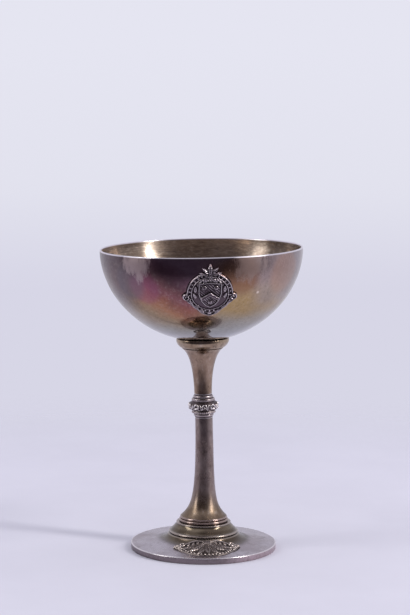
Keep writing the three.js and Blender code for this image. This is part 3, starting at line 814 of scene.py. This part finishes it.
def foot_material():
    """Rubbed silver with a hazy satin surface and many fine scratches, golden and glossier near the stem,
    with a painted highlight on the edge band towards +X and painted shade under the bead and low in the cove.
    """
    n = Nodes("rubbed silver")
    x, _, z = n.axes()
    cloud = n.noise(60, 5, 0.6)
    colour = n.mix(n.range(cloud, 0.35, 0.7), (184, 176, 184), (164, 153, 158))
    edge = n.range(z, EDGE_HEIGHT, EDGE_HEIGHT - 0.3)
    # The edge band's tint grows lighter towards +X. That lighter end is a painted highlight where the key
    # lamp glints on the band.
    edge_tint_and_highlight = n.mix(n.range(x, 4, 22), (130, 119, 123), (184, 166, 170))
    colour = n.mix(edge, colour, edge_tint_and_highlight)
    dull = n.range(n.math("MULTIPLY_ADD", n.noise(80, 3), 1.2, z), 4.6, 5.6, 0, 0.9)
    colour = n.mix(dull, colour, (108, 100, 98))
    olive = n.mix(n.range(n.noise(90, 4), 0.35, 0.7), (130, 118, 100), (98, 86, 74))
    wander = n.math("MULTIPLY_ADD", n.noise(80, 3), 1.6, z)
    inner = n.range(wander, 5.2, 7.0)
    colour = n.mix(inner, colour, olive)
    # Painted shade: the slope just under the bead is darkened.
    shade_below_bead = n.math("MULTIPLY", inner, n.range(z, STEP_HEIGHT, STEP_HEIGHT - 0.4))
    colour = n.mix(n.math("MULTIPLY", shade_below_bead, 0.5), colour, (72, 62, 54))
    above_bead = n.range(z, COVE_FOOT, COVE_FOOT + 0.3)
    bead = n.math("MULTIPLY", n.range(z, STEP_HEIGHT, STEP_HEIGHT + 0.2), n.math("SUBTRACT", 1, above_bead))
    # Painted shade: the low part of the cove, in the hollow above the bead, is darkened.
    low = n.range(z, COVE_FOOT + 0.55 * COVE_HEIGHT, COVE_FOOT + 0.3 * COVE_HEIGHT, 0.0, 0.45)
    shade_low_in_cove = n.math("MULTIPLY", above_bead, low)
    colour = n.mix(shade_low_in_cove, colour, (62, 50, 40))
    lip = n.range(z, LIP_FOOT - 0.3, LIP_FOOT)
    colour = n.mix(n.math("MAXIMUM", bead, lip), colour, (150, 140, 130))
    colour = n.mix(n.range(z, REED_FOOT - 0.4, REED_FOOT), colour, (138, 116, 108))
    mottle = n.noise(380, 6, 0.75)
    colour = n.mix(n.range(mottle, 0.5, 0.68, 0.0, 0.35), colour, (84, 74, 68))
    worn = n.range(n.hollow(), -0.15, -0.5)
    upper_edge = n.math("MULTIPLY", n.range(z, EDGE_HEIGHT - 0.5, EDGE_HEIGHT - 0.2), n.range(z, 5, 4))
    colour = n.mix(n.math("MULTIPLY", worn, upper_edge), colour, (226, 220, 222))
    colour = n.mix(n.math("MULTIPLY", worn, n.range(z, 5, 6, 0.0, 0.35)), colour, (206, 190, 180))
    grime = n.math("MULTIPLY_ADD", n.noise(300, 4), 0.4, n.math("SUBTRACT", n.hollow(), 0.2))
    grime_tint = n.mix(n.range(z, REED_FOOT - 0.4, REED_FOOT), (50, 42, 40), (88, 75, 70))
    colour = n.mix(n.range(grime, 0.08, 0.5), colour, grime_tint)
    marks = n.scratches(4)
    uneven = n.range(n.noise(150, 5), 0.3, 0.7)
    satin = n.math("MULTIPLY_ADD", uneven, 0.12, 0.22)
    less = n.math("MULTIPLY_ADD", uneven, 0.02, 0.08)  # how much glossier it is near the stem
    roughness = n.math("SUBTRACT", satin, n.math("MULTIPLY", less, inner))
    roughness = n.math("MULTIPLY_ADD", marks, 0.1, roughness)
    normal = n.bump(n.noise(700, 4), 0.002, 0.6)
    normal = n.bump(marks, 0.002, 0.6, normal)
    return n.finish(colour, roughness, normal)


def relief_material(name, bright, middle, dark):
    """Cast silver: bright on its high edges, tarnished between them and dark in the hollows."""
    n = Nodes(name)
    hollow = n.hollow()
    grime = n.math("MULTIPLY_ADD", n.noise(500, 4), 0.4, n.math("SUBTRACT", hollow, 0.2))
    colour = n.mix(n.range(grime, -0.5, 0.0), bright, middle)
    colour = n.mix(n.range(grime, 0.0, 0.5), colour, dark)
    roughness = n.range(grime, -0.3, 0.4, 0.24, 0.46)
    normal = n.bump(n.noise(2200, 3), 0.01, 0.5)
    return n.finish(colour, roughness, normal)


# The pieces


def bowl_curve(radius, depth, steps):
    """Down the bowl's curve, from the rim to the pole."""
    angle = np.linspace(0, math.pi / 2, steps + 1)
    share = np.clip(np.sin(angle) ** (2 / BOWL_FULLNESS), 0, 1)
    return np.stack([radius * rounded(share), -depth * share], 1)


def bowl_outward(points, grown=0.0):
    """The way out of the bowl at points in its own frame, not yet of length 1."""
    aside = np.hypot(points[..., 0], points[..., 1])[..., None]
    pull = np.maximum(aside, 1e-9) ** (BOWL_FULLNESS - 2) / (RIM_RADIUS + grown) ** BOWL_FULLNESS
    drop = np.abs(points[..., 2:]) ** (BOWL_FULLNESS - 1) / (BOWL_DEPTH + grown) ** BOWL_FULLNESS
    return np.concatenate([points[..., :2] * pull, -drop], -1)


def build_bowl(outside_material, inside_material):
    rim_round = BOWL_WALL / 2
    rim = arc((RIM_RADIUS - rim_round, -rim_round), rim_round, 0, 180, 10)
    outside = bowl_curve(RIM_RADIUS, BOWL_DEPTH, 84)[1:][::-1]
    inside = bowl_curve(RIM_RADIUS - BOWL_WALL, BOWL_DEPTH - BOWL_WALL, 70)[1:]
    outside[0, 0] = 0
    inside[-1, 0] = 0
    outline = joined(outside, rim, inside)
    points, faces, rows, _ = spun(outline, BOWL_SIDES)
    dent = 0.05 * ripple(points, 24, 3) + 0.02 * ripple(points, 11, 4)
    flat = 1 - smooth_step(points[:, 2], -3, -0.5)
    outward = bowl_outward(points)
    outward /= np.linalg.norm(outward, axis=1, keepdims=True)
    points = points + outward * (dent * flat)[:, None]
    face_rows = np.arange(len(faces)) // BOWL_SIDES
    add_piece(
        "spun_bowl",
        "bowl",
        placed(points, BOWL_PLACE),
        faces,
        hollowness(outline)[rows],
        [outside_material, inside_material],
        face_rows > len(outside) + 4,
    )


def upper_stem_outline():
    spread = UPPER_FLARE_RADIUS - SHAFT_RADIUS
    flare_top = (UPPER_FLARE_RADIUS, COLLAR_FOOT - GROOVE)
    flare = curve(
        (SHAFT_RADIUS, UPPER_STEM_FOOT),
        (SHAFT_RADIUS, COLLAR_FOOT - UPPER_FLARE_LENGTH),
        (SHAFT_RADIUS + 0.09 * spread, flare_top[1] - 0.2 * UPPER_FLARE_LENGTH),
        flare_top,
        48,
    )
    groove = curve(
        flare_top,
        (flare_top[0] - 0.1, flare_top[1] + 0.3 * GROOVE),
        (flare_top[0] - GROOVE / 2, flare_top[1] + 0.4 * GROOVE),
        (flare_top[0] - GROOVE / 2, COLLAR_FOOT - 0.05),
        6,
    )
    root = (COLLAR_RADIUS - COLLAR_UNDERCUT, COLLAR_FOOT)
    widest = (COLLAR_RADIUS, COLLAR_TOP - 0.3 * COLLAR_HEIGHT)
    collar = curve(
        root,
        (root[0] + 0.5 * COLLAR_UNDERCUT, root[1] + 0.12 * COLLAR_HEIGHT),
        (widest[0] - 0.1, widest[1] - 0.22 * COLLAR_HEIGHT),
        widest,
        18,
    )
    lip = curve(
        (COLLAR_RADIUS, COLLAR_TOP - COLLAR_LIP),
        (COLLAR_RADIUS, COLLAR_TOP - 0.2 * COLLAR_LIP),
        (COLLAR_RADIUS - 0.3 * COLLAR_LIP, COLLAR_TOP),
        (SEAT_RADIUS, COLLAR_TOP),
        6,
    )
    # The seat touches the bowl's underside
    seat = [(r, RIM_HEIGHT - bowl_drop(r) - 0.02) for r in np.linspace(SEAT_RADIUS - 0.4, 0, 12)]
    bottom = line((SHAFT_RADIUS * 0.5, UPPER_STEM_FOOT), flare[0], 2)
    return joined((0, UPPER_STEM_FOOT), bottom, flare, groove, collar, lip, seat)


def build_upper_stem(material):
    outline = upper_stem_outline()
    points, faces, rows, _ = spun(outline, 128)
    points = bowed(placed(points, LEANING))
    add_piece("trumpet_stem", "upper_stem", points, faces, hollowness(outline)[rows], [material])


def lower_stem_curve(inset, top, steps):
    spread = STEM_FOOT_RADIUS - SHAFT_RADIUS
    return curve(
        (STEM_FOOT_RADIUS - inset, SEAT_HEIGHT),
        (SHAFT_RADIUS + 0.25 * spread - inset, SEAT_HEIGHT + 0.7 * LOWER_FLARE_LENGTH),
        (SHAFT_RADIUS - inset, SEAT_HEIGHT + LOWER_FLARE_LENGTH),
        (SHAFT_RADIUS - inset, top),
        steps,
    )


def build_lower_stem(material):
    bore_top = LEAN_HEIGHT - STEM_TOP_PLATE
    bore = lower_stem_curve(STEM_WALL, bore_top, 24)[::-1]
    outside = lower_stem_curve(0, LEAN_HEIGHT, 72)
    outline = joined((0, bore_top), bore, outside, (0, LEAN_HEIGHT))
    points, faces, rows, _ = spun(outline, 112)
    bend = 0.04 * ripple(points, 30, 8)
    points[:, 0] += bend * smooth_step(points[:, 2], SEAT_HEIGHT + 4, SEAT_HEIGHT + 12)
    points = bowed(placed(points, UPRIGHT))
    add_piece("tapered_stem", "lower_stem", points, faces, hollowness(outline)[rows], [material])


def foot_slope(steps):
    edge = (FOOT_RADIUS - EDGE_ROUND, EDGE_HEIGHT)
    step = (BEAD_RADIUS + GROOVE, STEP_HEIGHT)
    run = edge[0] - step[0]
    rise = step[1] - edge[1]
    return curve(
        edge,
        (edge[0] - 0.58 * run, edge[1] + 0.14 * rise),
        (step[0] + 0.08 * run, step[1] - 0.62 * rise),
        step,
        steps,
    )


def foot_outline():
    """The foot's outside, from the surface it stands on up to the stem, then its inside down again."""
    bead_round = BEAD_THICKNESS / 2
    edge = joined(
        arc((FOOT_RADIUS - EDGE_ROUND, EDGE_ROUND), EDGE_ROUND, -90, 0, 5),
        arc((FOOT_RADIUS - EDGE_ROUND, EDGE_HEIGHT - EDGE_ROUND), EDGE_ROUND, 0, 80, 5),
    )
    bead = arc((BEAD_RADIUS - bead_round, BEAD_MIDDLE), bead_round, -85, 75, 12)
    cove_low = (LIP_RADIUS + COVE_SPREAD, COVE_FOOT)
    cove_high = (LIP_RADIUS, LIP_FOOT)
    cove = curve(
        cove_low,
        (cove_low[0] - 0.26 * COVE_SPREAD, cove_low[1] + 0.27 * COVE_HEIGHT),
        (cove_high[0] + 0.06 * COVE_SPREAD, cove_high[1] - 0.3 * COVE_HEIGHT),
        cove_high,
        18,
    )
    lip_round = LIP_HEIGHT * 0.6
    lip = arc((LIP_RADIUS - lip_round, LIP_FOOT + LIP_HEIGHT - lip_round), lip_round, 0, 90, 5)
    lip_top = LIP_FOOT + LIP_HEIGHT
    shelf = line((LIP_RADIUS - LIP_HEIGHT, lip_top), (WIDE_REED_RADIUS - GROOVE, lip_top), 3)
    reed_round = REED_HEIGHT / 2
    reeds = [
        arc((radius - reed_round, foot + reed_round), reed_round, -80, 80, 12)
        for radius, foot in ((WIDE_REED_RADIUS, REED_FOOT), (SLIM_REED_RADIUS, REED_FOOT + REED_HEIGHT))
    ]
    bore = STEM_FOOT_RADIUS - STEM_WALL
    rest = FOOT_RADIUS - EDGE_WIDTH
    under = foot_slope(24)[::-1] - FOOT_WALL
    under[:, 0] = np.minimum(under[:, 0], rest)
    inside = [
        (STEM_FOOT_RADIUS - 0.3, SEAT_HEIGHT),
        (bore, SEAT_HEIGHT),
        (bore, lip_top - FOOT_WALL),
        (LIP_RADIUS - FOOT_WALL, LIP_FOOT - FOOT_WALL),
        (LIP_RADIUS + COVE_SPREAD - FOOT_WALL, COVE_FOOT - FOOT_WALL),
    ]
    outline = joined(edge, foot_slope(52), bead, cove, lip, shelf, *reeds, inside, under, (rest, 0))
    return spaced(outline, 1.2)


def build_foot(material):
    outline = foot_outline()
    points, faces, rows, _ = spun(outline, 224, closed=True)
    radius = np.hypot(points[:, 0], points[:, 1])
    sag = 0.05 * ripple(points, 26, 12) + 0.02 * ripple(points, 12, 13)
    sag *= smooth_step(radius, BEAD_RADIUS + 1, BEAD_RADIUS + 5)
    points[:, 2] += sag * smooth_step(points[:, 2], 0.2, 2.5)
    points = placed(points, UPRIGHT)
    add_piece("stepped_foot", "foot", points, faces, hollowness(outline)[rows], [material])


def knop_outline():
    half = KNOP_HEIGHT / 2
    lip, ring, band = KNOP_LIP_RADIUS, KNOP_RING_RADIUS, KNOP_BAND_RADIUS
    # Radii and shares of half the height, from the middle of the band up to the shaft
    bends = [
        ((band, 0.2), (band, 0.3), (ring + 0.4, 0.34), (ring - 0.25, 0.4), 10),
        ((ring - 0.25, 0.4), (ring, 0.42), (ring + 0.05, 0.5), (ring, 0.6), 8),
        ((ring, 0.6), (ring - 0.15, 0.66), (lip, 0.66), (lip - 0.25, 0.7), 6),
        ((lip - 0.25, 0.7), (lip + 0.1, 0.72), (lip + 0.1, 0.88), (SHAFT_RADIUS, 0.92), 10),
    ]
    upper = joined(
        line((band, 0), (band, 0.2 * half), 8),
        *[curve(*corners, steps) * np.array([1, half]) for *corners, steps in bends],
        line((SHAFT_RADIUS, 0.92 * half), (SHAFT_RADIUS, half + FIT_GAP), 2),
    )
    lower = upper[::-1] * np.array([1, -1])
    both = joined((0, -half - FIT_GAP), lower, upper, (0, half + FIT_GAP))
    return spaced(both + np.array([0, half + FIT_GAP]), 0.11)


def knop_relief(along, up):
    """Palmettes and drilled volutes by turns. along is measured round the band and up from its middle."""
    period = 2 * math.pi * KNOP_BAND_RADIUS / KNOP_REPEATS
    u = (along + period / 2) % period - period / 2
    relief = Relief(u, up, np.zeros(u.shape))
    # The palmette: an arch over a pearl, between two leaves
    arch = [(1.05 * math.cos(t), -0.35 + 1.35 * math.sin(t)) for t in np.linspace(-0.5, math.pi + 0.5, 12)]
    relief.add(stroke, arch, 0.34, KNOP_RELIEF)
    relief.add(dome, (0, -0.35), 0.5, KNOP_RELIEF)
    for side in (-1, 1):
        relief.add(leaf, (1.3 * side, -1.5), (2.3 * side, 1.3), 0.9, KNOP_RELIEF, 3)
        volute = np.hypot(u - side * period / 2, up - 0.05)
        relief.lay(round_bar(np.abs(volute - 0.95), 0.48, KNOP_RELIEF + 0.1))
        start = (side * (period / 2 - 0.9), -0.6)
        curl = curve(start, (side * 2.9, -1.9), (side * 2.0, -1.7), (side * 1.2, -1.5), 8)
        relief.add(stroke, curl, 0.3, 0.8 * KNOP_RELIEF, 0.5)
    eye = np.hypot(np.abs(u) - period / 2, up - 0.05)
    drilled = 0.75 * (1 - smooth_step(eye, 0.3, 0.5))
    return relief.height - drilled


def build_knop(material):
    outline = knop_outline()
    points, faces, rows, angles = spun(outline, 400)
    radius = np.hypot(points[:, 0], points[:, 1])
    up = points[:, 2] - KNOP_HEIGHT / 2 - FIT_GAP
    reach = KNOP_RELIEF_REACH
    fade = 1 - smooth_step(np.abs(up), reach, reach + 0.3)
    relief = knop_relief((angles + math.pi / 2) * KNOP_BAND_RADIUS, up) * fade
    pearl_gap = 2 * math.pi / KNOP_PEARLS
    nearest = (angles + pearl_gap / 2) % pearl_gap - pearl_gap / 2
    pearl = round_bar(np.hypot(nearest * KNOP_RING_RADIUS, up + KNOP_PEARL_DROP), 0.5, 0.18)
    lift = np.where(radius < SHAFT_RADIUS, 0, relief + pearl)
    points[:, :2] *= 1 + (lift / np.maximum(radius, 1))[:, None]
    in_relief = np.clip(0.55 - 1.5 * relief / KNOP_RELIEF, -1, 1)
    beside = 0.6 * (hollowness(outline)[rows] + 0.4)
    hollow = np.where(np.abs(up) < reach + 0.25, in_relief, beside)
    points = bowed(placed(points, LEANING))
    add_piece("cast_knop", "knop", points, faces, hollow, [material])


def build_bowl_badge(material):
    radius = RIM_RADIUS * rounded(BADGE_DROP / BOWL_DEPTH)
    outward = Vector(bowl_outward(np.array([0, -radius, -BADGE_DROP]))).normalized()
    across = Vector((1, 0, 0))
    upward = outward.cross(across)
    middle = np.array([0, -radius, -BADGE_DROP])

    def surface_point(u, v, height):
        flat = middle + BADGE_WIDTH * (u[..., None] * np.array(across) + v[..., None] * np.array(upward))
        made = flat + 2 * np.array(outward)
        grown = height[..., None]
        for _ in range(8):
            aside = np.hypot(made[..., 0], made[..., 1])[..., None] / (RIM_RADIUS + grown)
            drop = np.abs(made[..., 2:]) / (BOWL_DEPTH + grown)
            excess = (aside**BOWL_FULLNESS + drop**BOWL_FULLNESS - 1) / BOWL_FULLNESS
            slope = np.sum(bowl_outward(made, grown) * np.array(outward), -1)[..., None]
            made = made - excess / slope * np.array(outward)
        return made

    def outline(u, v):
        edge = bowl_badge_edge(u, v)
        edge = np.minimum(edge, segment(u, v, (0, 0.33), (0, 0.5))[0] - 0.05)
        for side in (-1, 1):
            edge = np.minimum(edge, segment(u, v, (0.02 * side, 0.35), (0.14 * side, 0.44))[0] - 0.03)
            edge = np.minimum(edge, segment(u, v, (0.03 * side, 0.32), (0.2 * side, 0.352))[0] - 0.03)
        return edge

    u, v = badge_grid(outline, (0, -0.06), 0.7, 150, 512)
    points, faces, hollow = relief_shell(u, v, bowl_badge_height(u, v), surface_point, 2.6)
    points = placed(points, BOWL_PLACE)
    add_piece("shield_badge", "bowl_badge", points, faces, hollow, [material], sharp=60)


def build_foot_badge(material):
    inner = BEAD_RADIUS + FOOT_BADGE_CLEARANCE
    middle = inner + FOOT_BADGE_TOP * FOOT_BADGE_WIDTH
    slope = foot_slope(60)[::-1]

    def surface_point(u, v, height):
        x = FOOT_BADGE_WIDTH * u
        y = FOOT_BADGE_WIDTH * v - middle
        radius = np.hypot(x, y)
        return np.stack([x, y, np.interp(radius, slope[:, 0], slope[:, 1]) + height], -1)

    def outline(u, v):
        radius = np.hypot(FOOT_BADGE_WIDTH * u, FOOT_BADGE_WIDTH * v - middle)
        return np.maximum(foot_badge_edge(u, v), (inner - radius) / FOOT_BADGE_WIDTH)

    u, v = badge_grid(outline, (0, 0.02), 0.7, 110, 560)
    points, faces, hollow = relief_shell(u, v, foot_badge_height(u, v), surface_point, 1.8)
    points = placed(points, UPRIGHT)
    add_piece("palmette_badge", "foot_badge", points, faces, hollow, [material], sharp=60)


# Camera, floor and light


def add_camera():
    data = bpy.data.cameras.new("camera")
    data.lens = CAMERA_LENS
    data.sensor_width = 36
    data.clip_start = 0.05
    data.clip_end = 20
    camera = add_object("camera", data)
    badge_turn = Matrix.Rotation(math.radians(-BADGE_TURN), 4, "Z")
    aim = (
        Matrix.Rotation(math.radians(CAMERA_YAW), 4, "Z")
        @ Matrix.Rotation(math.radians(90 - CAMERA_PITCH), 4, "X")
        @ Matrix.Rotation(math.radians(CAMERA_ROLL), 4, "Z")
    )
    stand = Matrix.Translation(Vector((CAMERA_ASIDE, -CAMERA_DISTANCE, CAMERA_HEIGHT)) * MM)
    camera.matrix_world = Matrix.Translation((AXIS_X * MM, 0, 0)) @ badge_turn @ stand @ aim
    bpy.context.scene.camera = camera


TABLE_REACH = 2.5
DARK_TURN = 15.0  # degrees to the left of the badges that the dim end of the room lies


def floor_material():
    """A pale, faintly uneven sheet that fades into the backdrop far from the goblet, and in front of
    it, where the camera doesn't look and the metal mirrors a dim room."""
    n = Nodes("pale floor")
    x, y, _ = n.axes()
    reach = n.add("ShaderNodeVectorMath", (n.place,), operation="LENGTH").outputs["Value"]
    near = n.range(reach, 0.45, 0.2)
    behind = n.range(n.math("MULTIPLY_ADD", x, math.tan(math.radians(DARK_TURN)), y), -290, -70)
    look = {
        "Base Color": n.mix(n.range(n.noise(14, 4), 0.3, 0.7), (230, 229, 241), (234, 233, 245)),
        "Roughness": 0.9,
        "Specular IOR Level": 0.1,
        "Alpha": n.math("MULTIPLY", near, behind),
    }
    n.fill(n.shader, look)
    return n.owner


def add_floor():
    mesh = bpy.data.meshes.new("table")
    side = TABLE_REACH
    corners = [(-side, -side, 0), (side, -side, 0), (side, side, 0), (-side, side, 0)]
    mesh.from_pydata(corners, [], [(0, 1, 2, 3)])
    mesh.materials.append(floor_material())
    add_object("table", mesh)


def add_softbox(name, azimuth, elevation, distance, width, height, power, colour):
    """A rectangular light. Azimuth is measured from -Y towards +X."""
    data = bpy.data.lights.new(name, "AREA")
    data.shape = "RECTANGLE"
    data.size = width
    data.size_y = height
    data.energy = power
    data.color = colour
    light = add_object(name, data)
    a = math.radians(azimuth)
    e = math.radians(elevation)
    way = Vector((math.sin(a) * math.cos(e), -math.cos(a) * math.cos(e), math.sin(e)))
    light.location = Vector((0, 0, 0.07)) + way * distance
    light.rotation_mode = "QUATERNION"
    light.rotation_quaternion = way.to_track_quat("Z", "Y")
    light.visible_camera = False


def add_world():
    """The backdrop as the camera sees it, and for every other ray the studio: pale behind and above
    the goblet and dim in front."""
    n = Nodes("studio", "worlds")
    bpy.context.scene.world = n.owner
    seen_way = {"Vector": n.coordinates["Generated"], "Angle": math.radians(DARK_TURN)}
    turned = n.add("ShaderNodeVectorRotate", seen_way, rotation_type="Z_AXIS")
    split = n.add("ShaderNodeSeparateXYZ", (turned.outputs[0],))
    # From 0 in front to 1 behind, and from 0 below to 1 above
    depth, height = [n.math("MULTIPLY_ADD", split.outputs[axis], 0.5, 0.5) for axis in "YZ"]

    low, middle, high = (215, 214, 230), (226, 226, 238), (229, 229, 241)
    seen = n.ramp(height, [(0.0, low), (0.443, low), (0.466, middle), (0.5, high), (1.0, high)])
    dim, side, pale = (80, 75, 88), (150, 148, 158), (238, 237, 250)
    round_about = n.ramp(depth, [(0.0, dim), (0.15, dim), (0.4, side), (0.62, pale), (1.0, pale)])
    black, far_wall = (0, 0, 0), (92, 86, 92)
    ceiling = n.ramp(height, [(0.0, black), (0.5, black), (0.56, far_wall), (0.8, far_wall), (0.93, pale)])
    room = n.mix(1.0, round_about, ceiling, "LIGHTEN")
    lights = [n.add("ShaderNodeBackground", light).outputs[0] for light in ((room, 0.8), (seen, 1.0))]
    camera_ray = n.add("ShaderNodeLightPath").outputs["Is Camera Ray"]
    chosen = n.add("ShaderNodeMixShader", (camera_ray, *lights))
    n.fill(n.tree.nodes["World Output"], {"Surface": chosen.outputs[0]})


add_camera()
bpy.context.scene.view_settings.view_transform = "Standard"
add_world()
add_floor()
add_softbox("key", 62, 29, 1.6, 0.19, 1.05, 12.6, (1.0, 0.98, 0.97))
add_softbox("fill", -81, 29, 1.4, 0.45, 1.2, 5.7, (0.98, 0.98, 0.98))

stem_finish = stem_material()
build_bowl(bowl_outside_material(), bowl_inside_material())
build_upper_stem(stem_finish)
build_lower_stem(stem_finish)
build_foot(foot_material())
build_knop(relief_material("rubbed relief", (230, 222, 220), (178, 166, 166), (96, 86, 88)))
build_bowl_badge(relief_material("violet relief", (196, 184, 188), (94, 81, 88), (42, 35, 40)))
build_foot_badge(relief_material("brown relief", (186, 174, 168), (118, 107, 103), (66, 58, 56)))
